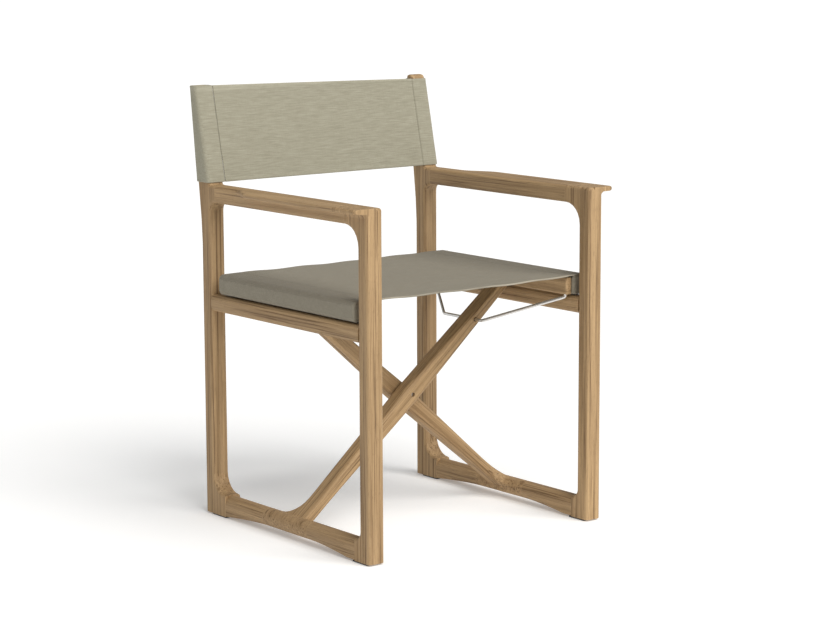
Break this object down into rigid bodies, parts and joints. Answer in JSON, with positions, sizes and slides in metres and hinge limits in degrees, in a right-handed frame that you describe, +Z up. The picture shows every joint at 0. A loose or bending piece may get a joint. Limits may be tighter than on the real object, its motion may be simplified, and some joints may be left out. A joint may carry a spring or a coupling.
{
  "type": "folding director's chair",
  "caption": "Folding teak director's chair: two side frames on crossed legs, with a flat sling seat, a sling back and arms with an outward lip.",
  "frame": {"origin": "on the floor, at the middle of the chair's box in plan", "axes": "+Z up, +X to the sitter's left, and the chair faces -Y"},
  "size_m": [0.618, 0.5652, 0.838],
  "materials": {
    "teak": "bare teak, sanded smooth, satin",
    "seat_fabric": "plain tight-woven outdoor fabric, taupe",
    "back_fabric": "slubby woven outdoor fabric, light sage grey",
    "steel": "plain stainless steel",
    "nylon": "natural nylon",
    "glide": "black plastic"
  },
  "bodies": {
    "left_frame": {"front_leg_left": "teak", "rear_leg_left": "teak", "arm_left": "teak", "stretcher_left": "teak", "runner_front_left": "teak", "runner_rear_left": "teak", "axle_left": "steel", "glide_front_left": "glide", "glide_rear_left": "glide", "back_pocket_left": "back_fabric", "back_panel": "back_fabric"},
    "front_cross": {"cross_leg_front": "teak", "bush_front_left": "nylon", "bush_rear_left": "nylon", "centre_pin": "steel", "centre_washer": "nylon", "seat_bar_right": "teak", "seat_batten_right": "teak", "seat_casing_right": "seat_fabric", "batten_screw_front_right": "steel", "batten_screw_rear_right": "steel", "brace_rod_right": "steel", "seat_sling": "seat_fabric"},
    "rear_cross": {"cross_leg_rear": "teak", "bush_front_right": "nylon", "bush_rear_right": "nylon", "seat_bar_left": "teak", "seat_batten_left": "teak", "seat_casing_left": "seat_fabric", "batten_screw_front_left": "steel", "batten_screw_rear_left": "steel", "brace_rod_left": "steel"},
    "right_frame": {"front_leg_right": "teak", "rear_leg_right": "teak", "arm_right": "teak", "stretcher_right": "teak", "runner_front_right": "teak", "runner_rear_right": "teak", "axle_right": "steel", "glide_front_right": "glide", "glide_rear_right": "glide", "back_pocket_right": "back_fabric"}
  },
  "joints": [
    {"name": "fold", "type": "hinge", "parent": "left_frame", "child": "front_cross", "pos_m": [-0.2637, -0.01595, 0.026], "axis": [0, -1, 0], "range_deg": [0, 27], "deforming": ["seat_sling", "back_panel"]},
    {"name": "centre_pivot", "type": "hinge", "parent": "front_cross", "child": "rear_cross", "pos_m": [0, -0.01595, 0.24727], "axis": [0, -1, 0], "range_deg": [-72.01, 0]},
    {"name": "right_pivot", "type": "hinge", "parent": "rear_cross", "child": "right_frame", "pos_m": [0.2637, -0.01595, 0.026], "axis": [0, -1, 0], "range_deg": [0, 27.01]}
  ],
  "couplings": [
    {"joint": "centre_pivot", "follows": "fold", "ratio": -2.6667},
    {"joint": "right_pivot", "follows": "fold", "ratio": 1}
  ]
}
